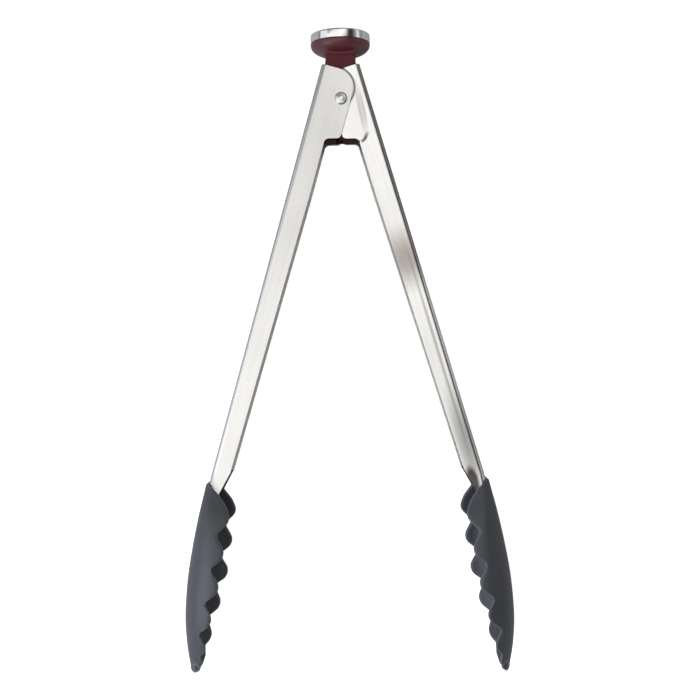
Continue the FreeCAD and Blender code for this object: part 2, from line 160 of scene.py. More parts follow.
def make_stage():
    deselect()
    bpy.ops.object.camera_add(location=(0.00212, 0.00187, 0.57206), rotation=(0, 0, math.radians(-0.97)))
    camera = bpy.context.object
    camera.data.lens = 61.714
    camera.data.sensor_width = 36.0
    bpy.context.scene.camera = camera
    make_floor()
    world = bpy.data.worlds.new("studio")
    bpy.context.scene.world = world
    world.use_nodes = True
    world.node_tree.nodes["Background"].inputs["Color"].default_value = (0.97, 0.98, 1.0, 1)
    world.node_tree.nodes["Background"].inputs["Strength"].default_value = 0.26
    area_light("softbox_over", (-0.40, -0.05, 1.25), (-0.05, 0, 0), (1.15, 1.5), 5.6, (1.0, 0.995, 0.98))
    area_light("softbox_end", (0.34, 0.62, 1.22), (0.1, 0.2, 0), (0.6, 0.6), 1.1, (1.0, 0.995, 0.98))
    area_light("softbox_left", (-1.1, 0.0, 0.55), (0, 0, 0.05), (1.4, 0.7), 2.6, (0.84, 0.90, 1.0))
    area_light("fill_low", (-0.35, -0.22, 0.26), (-0.065, -0.1, 0.03), (0.3, 0.3), 0.72, (0.74, 0.80, 1.0))
    area_light("strip_right", (0.90, 0.34, 0.33), (0, 0.1, 0.03), (0.9, 0.2), 0.5, (1.0, 1.0, 1.0))
    bpy.ops.mesh.primitive_plane_add(size=1.0, location=(0.66, 0.35, 0.80))
    card = bpy.context.object
    card.name = "dark_card"
    card.scale = (0.42, 1.5, 1)
    card.rotation_euler = (0, math.radians(45), 0)
    black = bpy.data.materials.new("black_felt")
    black.use_nodes = True
    black.node_tree.nodes["Principled BSDF"].inputs["Base Color"].default_value = (0.01, 0.01, 0.01, 1)
    black.node_tree.nodes["Principled BSDF"].inputs["Roughness"].default_value = 1.0
    card.data.materials.append(black)
    bpy.context.scene.view_settings.view_transform = "Standard"


# ------------------------------------------------------------ finishes

def new_material(name):
    material = bpy.data.materials.new(name)
    material.use_nodes = True
    return material, material.node_tree


def wire(tree, source, output, target, name):
    tree.links.new(source.outputs[output], target.inputs[name])


def node(tree, kind, **settings):
    made = tree.nodes.new(kind)
    for key, value in settings.items():
        setattr(made, key, value)
    return made


def shade_of(colour, factor):
    return (*[part * factor for part in colour], 1)


def group_of(name, inputs, outputs):
    group = bpy.data.node_groups.new(name, "ShaderNodeTree")
    for label, kind, value in inputs:
        socket = group.interface.new_socket(label, in_out="INPUT", socket_type=kind)
        if value is not None:
            socket.default_value = value
    for label, kind in outputs:
        group.interface.new_socket(label, in_out="OUTPUT", socket_type=kind)
    return group, group.nodes.new("NodeGroupInput"), group.nodes.new("NodeGroupOutput")


def make_brushed_grain():
    """Fine scratches that run along Y of the vector, with slow tone changes."""
    group, start, end = group_of(
        "brushed_grain",
        [("Vector", "NodeSocketVector", None), ("Across", "NodeSocketFloat", 4200.0),
         ("Length", "NodeSocketFloat", 45.0)],
        [("Height", "NodeSocketFloat"), ("Tone", "NodeSocketFloat"), ("Cloud", "NodeSocketFloat")])
    stretch = node(group, "ShaderNodeCombineXYZ")
    wire(group, start, "Across", stretch, "X")
    wire(group, start, "Length", stretch, "Y")
    wire(group, start, "Across", stretch, "Z")
    scaled = node(group, "ShaderNodeVectorMath", operation="MULTIPLY")
    wire(group, start, "Vector", scaled, 0)
    group.links.new(stretch.outputs[0], scaled.inputs[1])
    fine = node(group, "ShaderNodeTexNoise")
    fine.inputs["Scale"].default_value = 1.0
    fine.inputs["Detail"].default_value = 3.0
    fine.inputs["Roughness"].default_value = 0.6
    group.links.new(scaled.outputs[0], fine.inputs["Vector"])
    group.links.new(fine.outputs["Fac"], end.inputs["Height"])
    broad = node(group, "ShaderNodeVectorMath", operation="MULTIPLY")
    broad.inputs[1].default_value = (0.22, 0.5, 0.22)
    group.links.new(scaled.outputs[0], broad.inputs[0])
    streak = node(group, "ShaderNodeTexNoise")
    streak.inputs["Scale"].default_value = 1.0
    streak.inputs["Detail"].default_value = 2.0
    group.links.new(broad.outputs[0], streak.inputs["Vector"])
    group.links.new(streak.outputs["Fac"], end.inputs["Tone"])
    cloud = node(group, "ShaderNodeTexNoise")
    cloud.inputs["Scale"].default_value = 28.0
    cloud.inputs["Detail"].default_value = 1.5
    group.links.new(start.outputs["Vector"], cloud.inputs["Vector"])
    group.links.new(cloud.outputs["Fac"], end.inputs["Cloud"])
    return group


def ramp(tree, source, output, low, high, bottom, top):
    scale = node(tree, "ShaderNodeMapRange")
    scale.inputs["From Min"].default_value = low
    scale.inputs["From Max"].default_value = high
    scale.inputs["To Min"].default_value = bottom
    scale.inputs["To Max"].default_value = top
    wire(tree, source, output, scale, "Value")
    return scale


def make_soft_spot():
    """One inside an oval turned about Z, fading to zero at its rim and inside its hollow."""
    group, start, end = group_of(
        "soft_spot",
        [("Vector", "NodeSocketVector", None), ("Centre", "NodeSocketVector", None),
         ("Size", "NodeSocketVector", None), ("Edge", "NodeSocketFloat", 0.3),
         ("Hollow", "NodeSocketFloat", 0.0), ("Turn", "NodeSocketFloat", 0.0)],
        [("Mask", "NodeSocketFloat")])
    moved = node(group, "ShaderNodeVectorMath", operation="SUBTRACT")
    wire(group, start, "Vector", moved, 0)
    wire(group, start, "Centre", moved, 1)
    turned = node(group, "ShaderNodeVectorRotate", rotation_type="Z_AXIS")
    group.links.new(moved.outputs[0], turned.inputs["Vector"])
    wire(group, start, "Turn", turned, "Angle")
    scaled = node(group, "ShaderNodeVectorMath", operation="DIVIDE")
    group.links.new(turned.outputs[0], scaled.inputs[0])
    wire(group, start, "Size", scaled, 1)
    far = node(group, "ShaderNodeVectorMath", operation="LENGTH")
    group.links.new(scaled.outputs[0], far.inputs[0])
    fade = node(group, "ShaderNodeMapRange", interpolation_type="SMOOTHSTEP")
    group.links.new(far.outputs["Value"], fade.inputs["Value"])
    wire(group, start, "Edge", fade, "From Min")
    fade.inputs["From Max"].default_value = 1.0
    fade.inputs["To Min"].default_value = 1.0
    fade.inputs["To Max"].default_value = 0.0
    inner = node(group, "ShaderNodeMath", operation="SUBTRACT")
    group.links.new(far.outputs["Value"], inner.inputs[0])
    wire(group, start, "Hollow", inner, 1)
    inner_edge = ramp(group, inner, 0, 0.0, 0.04, 0.0, 1.0)
    solid = node(group, "ShaderNodeMath", operation="LESS_THAN")
    wire(group, start, "Hollow", solid, 0)
    solid.inputs[1].default_value = 0.001
    kept = node(group, "ShaderNodeMath", operation="MAXIMUM")
    group.links.new(inner_edge.outputs[0], kept.inputs[0])
    group.links.new(solid.outputs[0], kept.inputs[1])
    mask = node(group, "ShaderNodeMath", operation="MULTIPLY")
    group.links.new(fade.outputs[0], mask.inputs[0])
    group.links.new(kept.outputs[0], mask.inputs[1])
    group.links.new(mask.outputs[0], end.inputs["Mask"])
    return group


def finish_surface(tree, shader, colour, grain, tone, smooth, rough, strength, depth):
    """Colour, roughness between two values over the grain's tone, and a fine bump."""
    tree.links.new(colour, shader.inputs["Base Color"])
    roughness = ramp(tree, grain, tone, 0.3, 0.7, smooth, rough)
    tree.links.new(roughness.outputs[0], shader.inputs["Roughness"])
    bumped = node(tree, "ShaderNodeBump")
    bumped.inputs["Strength"].default_value = strength
    bumped.inputs["Distance"].default_value = depth
    wire(tree, grain, "Height", bumped, "Height")
    wire(tree, bumped, "Normal", shader, "Normal")


def brushed_steel(name, grain, turn, colour, roughness, bump, across=4200.0, length=45.0, shades=()):
    """Brushed steel; shades are ovals (centre and size in metres, edge, colour) of painted shade and painted
    reflection, multiplied into the steel's colour.
    """
    material, tree = new_material(name)
    shader = tree.nodes["Principled BSDF"]
    shader.inputs["Metallic"].default_value = 1.0
    shader.inputs["IOR"].default_value = 2.5
    place = node(tree, "ShaderNodeTexCoord")
    mapping = node(tree, "ShaderNodeMapping")
    mapping.inputs["Rotation"].default_value = turn
    wire(tree, place, "Object", mapping, "Vector")
    brushed = node(tree, "ShaderNodeGroup", node_tree=grain)
    brushed.inputs["Across"].default_value = across
    brushed.inputs["Length"].default_value = length
    wire(tree, mapping, "Vector", brushed, "Vector")
    tone = ramp(tree, brushed, "Tone", 0.3, 0.7, 0.0, 1.0)
    mix = node(tree, "ShaderNodeMix", data_type="RGBA")
    mix.inputs[6].default_value = shade_of(colour, 0.93)
    mix.inputs[7].default_value = shade_of(colour, 1.0)
    tree.links.new(tone.outputs[0], mix.inputs[0])
    toned = mix.outputs[2]
    # Each oval multiplies painted shade or a painted reflection into the steel's colour.
    for centre, size, edge, shade, *more in shades:
        spot = node(tree, "ShaderNodeGroup", node_tree=soft_spot)
        if more:
            spot.inputs["Hollow"].default_value = more[0]
            spot.inputs["Turn"].default_value = more[1]
        wire(tree, mapping, "Vector", spot, "Vector")
        spot.inputs["Centre"].default_value = centre
        spot.inputs["Size"].default_value = size
        spot.inputs["Edge"].default_value = edge
        painted_light_mix = node(tree, "ShaderNodeMix", data_type="RGBA", blend_type="MULTIPLY")
        wire(tree, spot, "Mask", painted_light_mix, 0)
        tree.links.new(toned, painted_light_mix.inputs[6])
        painted_light_mix.inputs[7].default_value = (*shade, 1)
        toned = painted_light_mix.outputs[2]
    finish_surface(tree, shader, toned, brushed, "Cloud", roughness - 0.04, roughness + 0.05, bump, 0.00003)
    return material


def make_moulded_grain():
    """Fine surface grain and slow tone changes of a moulded piece."""
    group, start, end = group_of(
        "moulded_grain",
        [("Vector", "NodeSocketVector", None), ("Fine", "NodeSocketFloat", 2600.0),
         ("Slow", "NodeSocketFloat", 60.0)],
        [("Height", "NodeSocketFloat"), ("Tone", "NodeSocketFloat")])
    for size, detail, result in (("Fine", 2.0, "Height"), ("Slow", 3.0, "Tone")):
        noise = node(group, "ShaderNodeTexNoise")
        noise.inputs["Detail"].default_value = detail
        wire(group, start, size, noise, "Scale")
        wire(group, start, "Vector", noise, "Vector")
        wire(group, noise, "Fac", end, result)
    return group


def moulded_base(tree, place, colour, fine, slow, dark, light):
    """Grain of a moulded piece, and its colour between a darker and a lighter shade."""
    grain = node(tree, "ShaderNodeGroup", node_tree=moulded_grain)
    grain.inputs["Fine"].default_value = fine
    grain.inputs["Slow"].default_value = slow
    wire(tree, place, "Object", grain, "Vector")
    tone = ramp(tree, grain, "Tone", 0.3, 0.7, 0.0, 1.0)
    mix = node(tree, "ShaderNodeMix", data_type="RGBA")
    tree.links.new(tone.outputs[0], mix.inputs[0])
    mix.inputs[6].default_value = shade_of(colour, dark)
    mix.inputs[7].default_value = shade_of(colour, light)
    return grain, mix.outputs[2]


def silicone(name, colour, tip_reflections):
    """Matt silicone with a painted highlight on its rim lips and a painted reflection at each tip, a lighter
    ring round a darker spot.
    """
    material, tree = new_material(name)
    shader = tree.nodes["Principled BSDF"]
    shader.inputs["Specular IOR Level"].default_value = 0.5
    shader.inputs["Sheen Weight"].default_value = 0.06
    shader.inputs["Sheen Roughness"].default_value = 0.5
    place = node(tree, "ShaderNodeTexCoord")
    grain, base = moulded_base(tree, place, colour, 2600.0, 60.0, 0.9, 1.08)
    lip = node(tree, "ShaderNodeAttribute", attribute_name="lip")
    # Painted highlight: the rim lips are painted paler where light catches them.
    lip_highlight = node(tree, "ShaderNodeMix", data_type="RGBA")
    tree.links.new(lip.outputs["Fac"], lip_highlight.inputs[0])
    tree.links.new(base, lip_highlight.inputs[6])
    lip_highlight.inputs[7].default_value = shade_of(colour, 1.55)
    toned = lip_highlight.outputs[2]
    # Painted reflection at each tip: a lighter ring round a darker spot.
    for centre, size, edge, factor in tip_reflections:
        spot = node(tree, "ShaderNodeGroup", node_tree=soft_spot)
        wire(tree, place, "Object", spot, "Vector")
        spot.inputs["Centre"].default_value = centre
        spot.inputs["Size"].default_value = size
        spot.inputs["Edge"].default_value = edge
        painted_light_mix = node(tree, "ShaderNodeMix", data_type="RGBA")
        wire(tree, spot, "Mask", painted_light_mix, 0)
        tree.links.new(toned, painted_light_mix.inputs[6])
        painted_light_mix.inputs[7].default_value = shade_of(colour, factor)
        toned = painted_light_mix.outputs[2]
    finish_surface(tree, shader, toned, grain, "Tone", 0.42, 0.5, 0.25, 0.00004)
    return material


def moulded_plastic(name, colour, gloss, foot):
    """Coloured plastic with painted shade near y = foot, which sits deep between the arms."""
    material, tree = new_material(name)
    shader = tree.nodes["Principled BSDF"]
    shader.inputs["Specular IOR Level"].default_value = gloss
    place = node(tree, "ShaderNodeTexCoord")
    grain, base = moulded_base(tree, place, colour, 1800.0, 90.0, 0.92, 1.06)
    split = node(tree, "ShaderNodeSeparateXYZ")
    wire(tree, place, "Object", split, "Vector")
    # Painted shade: the colour darkens towards y = foot, deep between the arms.
    inside = ramp(tree, split, "Y", foot, foot + 0.018, 0.22, 1.0)
    darkened = node(tree, "ShaderNodeMix", data_type="RGBA")
    tree.links.new(inside.outputs[0], darkened.inputs[0])
    darkened.inputs[6].default_value = shade_of(colour, 0.05)
    tree.links.new(base, darkened.inputs[7])
    finish_surface(tree, shader, darkened.outputs[2], grain, "Tone", 0.33, 0.41, 0.2, 0.00004)
    return material


def paint(piece, *materials):
    piece.data.materials.clear()
    for material in materials:
        piece.data.materials.append(material)


# ------------------------------------------------------------ silicone heads

# Distance from the pivot, back, half width and corner of a head, in millimetres.
SPOON = [
    (177, 13.9, 11.3, 3.6), (182, 13.8, 12.1, 4.1), (188, 13.55, 14.2, 5.5), (196, 13.25, 17.8, 8.0),
    (205, 12.75, 20.4, 10.8), (215, 12.0, 21.8, 13.0), (226, 10.85, 22.0, 14.5), (237, 8.95, 21.1, 14.5),
    (247, 6.7, 18.7, 13.5), (255, 4.2, 15.2, 11.5), (262, 1.4, 10.8, 8.0), (267, -0.9, 6.8, 5.0),
    (269.5, -1.9, 4.0, 2.8), (270.5, -2.7, 2.2, 1.4),
]
COLLAR = 183.0
TIP = 270.5
TAPER_FROM = 244.0
PITCH = 14.95
FIRST_PEAK = 195.6
PEAKS = [-1.8, -4.2, -6.4, -6.4, -6.2]
VALLEYS = [2.6, 1.4, 0.0, -1.0]
WALL = 3.0
LIP = 0.95


def rim_line(drop):
    """Rim of a head as distance and height, its corners rounded; drop lowers it near the tip."""
    corners = [(181.5, 14.7, 0), (186.3, 6.8, 0.8), (190.2, 2.0, 5.0)]
    for i, peak in enumerate(PEAKS):
        corners.append((FIRST_PEAK + i * PITCH, peak, 5.0))
        if i < len(VALLEYS):
            corners.append((FIRST_PEAK + (i + 0.5) * PITCH, VALLEYS[i], 2.0))
    corners += [(260.0, -3.7 - 0.5 * drop, 1.2), (264.0, -4.9 - drop, 3.0),
                (268.0, -5.0 - drop, 2.0), (272.0, -2.6 - drop, 0)]
    points = [np.array(corners[0][:2])]
    for before, corner, after in zip(corners, corners[1:], corners[2:]):
        here = np.array(corner[:2])
        back = np.array(before[:2]) - here
        ahead = np.array(after[:2]) - here
        back, ahead = back / np.linalg.norm(back), ahead / np.linalg.norm(ahead)
        half = math.acos(max(-1.0, min(1.0, float(back @ ahead)))) / 2
        if corner[2] == 0 or half > 1.55:
            points.append(here)
            continue
        reach = corner[2] / math.tan(half)
        middle = here + (back + ahead) / np.linalg.norm(back + ahead) * corner[2] / math.sin(half)
        first, last = here + back * reach - middle, here + ahead * reach - middle
        for t in np.linspace(0, 1, 9):
            spoke = first * (1 - t) + last * t
            points.append(middle + spoke / np.linalg.norm(spoke) * corner[2])
    points.append(np.array(corners[-1][:2]))
    line = np.array(points)
    return line[:, 0], line[:, 1]


def smooth_at(stations, values, at):
    """Smooth curve through the stations, read at a distance."""
    slopes = np.gradient(values, stations)
    i = int(np.clip(np.searchsorted(stations, at) - 1, 0, len(stations) - 2))
    step = stations[i + 1] - stations[i]
    t = (at - stations[i]) / step
    return ((1 + 2 * t) * (1 - t) ** 2 * values[i] + t * (1 - t) ** 2 * step * slopes[i]
            + t * t * (3 - 2 * t) * values[i + 1] + t * t * (t - 1) * step * slopes[i + 1])


def u_section(back, half, corner, rim, count):
    """Points from one rim round the back to the other: straight sides, round corners, flat back."""
    corner = min(corner, half * 0.98)
    side = max(back - corner - rim, 0.0)
    start_turn = 0.0 if side > 0 else math.asin(min(1.0, max(0.0, (rim - back + corner) / corner)))
    turn = (math.pi / 2 - start_turn) * corner
    flat = 2 * (half - corner)
    total = 2 * side + 2 * turn + flat
    points = []
    for i in range(count):
        d = total * i / (count - 1)
        sign = 1
        if d > total / 2:
            d, sign = total - d, -1
        if d < side:
            x, z = rim + d, half
        elif d < side + turn:
            a = start_turn + (d - side) / corner
            x, z = back - corner + corner * math.sin(a), half - corner + corner * math.cos(a)
        else:
            x, z = back, half - corner - (d - side - turn)
        points.append((x, sign * z))
    return points


def head_ring(along, rims, slopes, line):
    """One closed ring of a head: outside, rim lip, inside, rim lip."""
    table = np.array(SPOON, float)
    read = min(along, TIP)
    back, half, corner = (smooth_at(table[:, 0], table[:, i], read) for i in (1, 2, 3))
    rim = float(np.interp(along, line[0], line[1]))
    slant = float(np.interp(along, slopes[0], slopes[1]))
    soften = max(0.0, 1 - (along - COLLAR) / LIP)
    skin = LIP * (1 - math.sqrt(max(0.0, 1 - soften * soften)))
    wall = min(WALL, half * 0.6) - skin
    lip = min(LIP, (wall - skin) * 0.45) if wall > skin else 0.02
    outer_rim = min(rim + lip * slant, back - skin - 0.05)
    outer = u_section(back - skin, half - skin, corner - skin, outer_rim, 56)
    inner_back = max(back - wall, outer_rim + 0.02)
    inner = u_section(inner_back, half - wall, max(corner - wall, 0.4), outer_rim, 56)
    ring = [(x, z, 0.0) for x, z in outer]
    far = []
    for i in range(1, 12):
        t = i / 12
        depth = skin + (wall - skin) * t
        edge = min(depth - skin, wall - depth)
        drop = lip * slant * (math.sqrt(max(0.0, 1 - (1 - min(edge / lip, 1.0)) ** 2)))
        far.append((max(outer_rim - drop, rim), half - depth, 1.0))
    ring += [(x, -z, w) for x, z, w in far]
    ring += [(x, z, 0.0) for x, z in reversed(inner)]
    ring += [(x, z, w) for x, z, w in reversed(far)]
    return ring


def make_head(name, side, length, splay, drop, material):
    """Silicone head on an arm; length is where its tip ends, splay how far its tip leans out."""
    line = rim_line(drop)
    fine = np.linspace(COLLAR - 1, TIP, 700)
    heights = np.interp(fine, line[0], line[1])
    slopes = (fine, np.sqrt(1 + np.gradient(heights, fine) ** 2).clip(1, 1.8))
    rows = 190
    stations = np.concatenate([COLLAR + LIP * (1 - np.cos(np.linspace(0, math.pi / 2, 8)[:-1])),
                               np.linspace(COLLAR + LIP, TIP - 0.01, rows - 6)])
    rings = [head_ring(s, line, slopes, line) for s in stations]
    columns = len(rings[0])
    deselect()
    bpy.ops.mesh.primitive_grid_add(x_subdivisions=columns, y_subdivisions=len(rings) - 1, size=1)
    piece = bpy.context.object
    piece.name = name
    lips = []
    for vertex in piece.data.vertices:
        column = round((vertex.co.x + 0.5) * columns) % columns
        row = round((vertex.co.y + 0.5) * (len(rings) - 1))
        x, z, lip = rings[row][column]
        along = stations[row]
        if along > TAPER_FROM:
            along = TAPER_FROM + (along - TAPER_FROM) * (length - TAPER_FROM) / (TIP - TAPER_FROM)
        x += splay * max(0.0, (along - 248) / 22) ** 1.5
        vertex.co = (side * x * MM, -along * MM, z * MM)
        lips.append(lip)
    # The lip attribute marks the rim lips, which the silicone material paints paler as a highlight.
    attribute = piece.data.attributes.new("lip", "FLOAT", "POINT")
    attribute.data.foreach_set("value", lips)
    only(piece)
    bpy.ops.object.mode_set(mode="EDIT")
    bpy.ops.mesh.select_all(action="SELECT")
    bpy.ops.mesh.remove_doubles(threshold=0.000001)
    bpy.ops.mesh.fill_holes(sides=0)
    bpy.ops.object.mode_set(mode="OBJECT")
    piece.matrix_world = arm_place(side)
    settle(piece, 50)
    paint(piece, material)
    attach(piece, tong_body(side))
    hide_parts("right_head" if side > 0 else "left_head")
    return piece


# ------------------------------------------------------------ metal and plastic pieces

def turned_piece(name, start, axis, stations):
    """Lathe work: a ring at start grows along the axis through stations (distance, radius)."""
    deselect()
    turn = (math.pi / 2, 0, 0) if axis == "Y" else (0, 0, 0)
    first = stations[0]
    way = Vector((0, 1, 0)) if axis == "Y" else Vector((0, 0, 1))
    bpy.ops.mesh.primitive_circle_add(vertices=96, radius=first[1] * MM, fill_type="NGON",
                                      location=start + way * first[0] * MM, rotation=turn)
    piece = bpy.context.object
    piece.name = name
    bpy.ops.object.transform_apply(location=True, rotation=True, scale=True)
    bpy.ops.object.mode_set(mode="EDIT")
    bpy.ops.mesh.select_all(action="SELECT")
    for before, after in zip(stations, stations[1:]):
        bpy.ops.mesh.extrude_region_move(
            TRANSFORM_OT_translate={"value": way * (after[0] - before[0]) * MM})
        scale = after[1] / before[1]
        wide = (scale, 1, scale) if axis == "Y" else (scale, scale, 1)
        bpy.ops.transform.resize(value=wide, center_override=start + way * after[0] * MM)
    bpy.ops.object.mode_set(mode="OBJECT")
    return piece


def arc_stations(centre, radius, first, last, count=8):
    """Quarter round for a turned piece: centre (distance, radius), angles from the axis."""
    return [(centre[0] + radius[0] * math.cos(a), centre[1] + radius[1] * math.sin(a))
            for a in np.linspace(math.radians(first), math.radians(last), count)]


def stands_for(piece, cad_node, body, slot_name, *materials):
    paint(piece, *materials)
    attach(piece, body)
    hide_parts(cad_node)
    return piece


def pull_back(piece, surface, reach):
    """Corners that easing threw clear of the part go back onto it."""
    for vertex in piece.data.vertices:
        spot, _, _, gap = surface.find_nearest(vertex.co)
        if gap > reach:
            vertex.co = spot


def eased_copy(cad_node, name, width, angle=38, segments=3):
    """The part's own shape with its sharp edges eased, as tumbling leaves them."""
    deselect()
    piece = frame["nodes"][cad_node].copy()
    piece.data = piece.data.copy()
    piece.name = name
    for key in list(piece.keys()):
        del piece[key]
    bpy.context.scene.collection.objects.link(piece)
    piece.parent = None
    only(piece)
    bpy.ops.object.mode_set(mode="EDIT")
    bpy.ops.mesh.select_all(action="SELECT")
    bpy.ops.mesh.remove_doubles(threshold=0.000002)
    if piece.data.has_custom_normals:
        bpy.ops.mesh.customdata_custom_splitnormals_clear()
    bpy.ops.mesh.dissolve_limited(angle_limit=math.radians(0.6))
    bpy.ops.object.mode_set(mode="OBJECT")
    surface = BVHTree.FromPolygons([vertex.co.copy() for vertex in piece.data.vertices],
                                   [tuple(face.vertices) for face in piece.data.polygons])
    apply_modifier(piece, "BEVEL", width=width, segments=segments, limit_method="ANGLE",
                   angle_limit=math.radians(angle), use_clamp_overlap=False, miter_outer="MITER_ARC",
                   harden_normals=False)
    pull_back(piece, surface, width * 0.8)
    only(piece)
    bpy.ops.object.shade_smooth_by_angle(angle=math.radians(32))
    apply_modifier(piece, "WEIGHTED_NORMAL", mode="FACE_AREA_WITH_ANGLE", weight=90, keep_sharp=True)
    return piece


def make_cap(material):
    """Spun cap: rolled lower edge, straight band, rounded shoulder, very slightly domed face."""
    low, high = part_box("knob_cap")
    centre = Vector((0, low.y, (low.z + high.z) / 2))
    tall, wide = (high.y - low.y) / MM, (high.x - low.x) / 2 / MM
    stations = [(0.35, wide - 0.6), (0.0, wide - 0.5), (0.0, wide - 0.18), (0.12, wide - 0.03),
                (0.3, wide), (tall - 1.05, wide)]
    stations += arc_stations((tall - 1.0, wide - 0.9), (0.9, 0.9), 90, 8, 9)
    stations += [(tall - 0.08, wide - 1.6), (tall - 0.04, wide * 0.6), (tall, wide * 0.3), (tall, 0.05)]
    piece = turned_piece("cap_band", centre, "Y", stations)
    settle(piece, 40)
    return stands_for(piece, "knob_cap", "lock", "cap_steel", material)


def make_rivet(material):
    """Domed rivet head above, shank between, clinched head below."""
    low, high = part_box("pivot_rivet")
    size = (high.x - low.x) / 2 / MM
    dome = 1.2
    bottom, top = low.z / MM, high.z / MM
    start = Vector((PIVOT.x, PIVOT.y, 0))
    stations = [(bottom, 0.1)]
    stations += [(bottom + dome * (1 - math.sqrt(1 - (r / size) ** 2 * 0.92)), r)
                 for r in (0.9, 1.7, 2.3, 2.65)]
    stations += [(bottom + dome - 0.12, size), (bottom + dome, size - 0.1), (bottom + dome, 2.0),
                 (top - dome, 2.0), (top - dome, size - 0.08), (top - dome + 0.1, size)]
    stations += [(top - dome * (1 - math.sqrt(1 - (r / size) ** 2 * 0.9)) - dip, r)
                 for r, dip in ((2.7, 0), (2.45, 0), (2.15, 0), (1.9, 0.02), (1.75, 0.07), (1.6, 0.08),
                                (1.4, 0.05), (1.2, 0.02), (0.9, 0), (0.6, 0), (0.25, 0))] + [(top, 0.05)]
    piece = turned_piece("hinge_rivet", start, "Z", stations)
    settle(piece, 40)
    return stands_for(piece, "pivot_rivet", "pivot", "rivet_steel", material)


LEG_STEPS = 6


def make_spring(material):
    """Wound wire with a straight leg to each arm."""
    wire, coil, pitch = 0.65, 3.9, 1.42
    lean = math.radians(32.0)
    turns = 3 + (math.pi - 2 * lean) / (2 * math.pi)
    rise = pitch * turns
    low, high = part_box("torsion_spring")
    deselect()
    bpy.ops.mesh.primitive_circle_add(vertices=14, radius=wire * MM, location=(0, 0, 0),
                                      rotation=(math.pi / 2, 0, 0))
    piece = bpy.context.object
    piece.name = "hinge_spring"
    bpy.ops.object.transform_apply(location=False, rotation=True, scale=False)
    bpy.ops.object.mode_set(mode="EDIT")
    bpy.ops.mesh.select_all(action="SELECT")
    bpy.ops.transform.translate(value=(coil * MM, 0, 0))
    bpy.ops.object.mode_set(mode="OBJECT")
    steps = 130
    apply_modifier(piece, "SCREW", axis="Z", angle=2 * math.pi * turns, screw_offset=rise * MM,
                   steps=steps, render_steps=steps, use_merge_vertices=False)
    only(piece)
    piece.rotation_euler = (0, 0, lean)
    piece.location = (PIVOT.x, PIVOT.y, PIVOT.z - rise / 2 * MM)
    bpy.ops.object.transform_apply(location=True, rotation=True, scale=True)
    for side, level in ((1, PIVOT.z - rise / 2 * MM), (-1, PIVOT.z + rise / 2 * MM)):
        root = PIVOT + Vector((side * coil * MM * math.cos(lean), coil * MM * math.sin(lean), 0))
        root.z = level
        way = Vector((side * math.sin(lean), -math.cos(lean), 0))
        far = (high.x if side > 0 else low.x) - side * wire * MM * 0.9
        length = (far - root.x) / way.x
        only(piece)
        bpy.ops.object.mode_set(mode="EDIT")
        bpy.ops.mesh.select_all(action="DESELECT")
        bpy.ops.object.mode_set(mode="OBJECT")
        counts = {}
        for polygon in piece.data.polygons:
            for key in polygon.edge_keys:
                counts[key] = counts.get(key, 0) + 1
        for edge in piece.data.edges:
            ends = [piece.data.vertices[v] for v in edge.vertices]
            middle = (ends[0].co + ends[1].co) / 2
            if counts.get(edge.key) == 1 and (middle - root).length < wire * MM * 1.2:
                edge.select = ends[0].select = ends[1].select = True
        bpy.ops.object.mode_set(mode="EDIT")
        for _ in range(LEG_STEPS):
            bpy.ops.mesh.extrude_edges_move(TRANSFORM_OT_translate={"value": way * length / LEG_STEPS})
        tip = root + way * length
        bpy.ops.mesh.extrude_edges_move(TRANSFORM_OT_translate={"value": way * wire * MM * 0.45})
        bpy.ops.transform.resize(value=(0.72, 0.72, 0.72), center_override=tip + way * wire * MM * 0.45)
        bpy.ops.mesh.edge_face_add()
        bpy.ops.object.mode_set(mode="OBJECT")
    settle(piece, 40)
    paint(piece, material)
    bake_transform(piece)
    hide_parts("torsion_spring")
    return piece


def make_lining(name, side, material):
    """Silicone that lines the insides of an arm's two walls from the neck into the head."""
    along = np.linspace(176.4, 188.0, 13)
    edge = np.interp(along, (175.7, 186.0, 188.0), (4.32, 6.72, 6.6))
    half = np.interp(along, (176, 178, 180, 182, 185, 188), (10.0, 10.14, 10.42, 10.82, 11.7, 12.8))
    pieces = []
    for wall in (1, -1):
        deselect()
        bpy.ops.mesh.primitive_grid_add(x_subdivisions=6, y_subdivisions=len(along) - 1, size=1)
        piece = bpy.context.object
        for vertex in piece.data.vertices:
            row = round((vertex.co.y + 0.5) * (len(along) - 1))
            x = edge[row] + 0.05 + (vertex.co.x + 0.5) * 4.4
            vertex.co = (side * x * MM, -along[row] * MM, wall * (half[row] - 0.92) * MM)
        apply_modifier(piece, "SOLIDIFY", thickness=0.35 * MM, offset=side * wall)
        pieces.append(piece)
    deselect()
    for piece in pieces:
        piece.select_set(True)
    bpy.context.view_layer.objects.active = pieces[0]
    bpy.ops.object.join()
    piece = pieces[0]
    piece.name = name
    piece.matrix_world = arm_place(side)
    settle(piece, 40)
    paint(piece, material)
    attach(piece, tong_body(side))


def make_neck_bead(material):
    """Rounded ridge where the slider's neck runs into the knob."""
    deselect()
    bpy.ops.mesh.primitive_cube_add(size=1.0, location=(PIVOT.x, PIVOT.y + 20.0 * MM, PIVOT.z))
    piece = bpy.context.object
    piece.name = "neck_bead"
    piece.scale = (13.9 * MM, 1.1 * MM, 16.2 * MM)
    bpy.ops.object.transform_apply(location=False, rotation=False, scale=True)
    apply_modifier(piece, "BEVEL", width=0.5 * MM, segments=4, limit_method="ANGLE")
    settle(piece, 40)
    paint(piece, material)
    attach(piece, "lock")


# ------------------------------------------------------------ the tongs

make_stage()
grain = make_brushed_grain()
moulded_grain = make_moulded_grain()
soft_spot = make_soft_spot()
STEEL = (0.80, 0.79, 0.765)
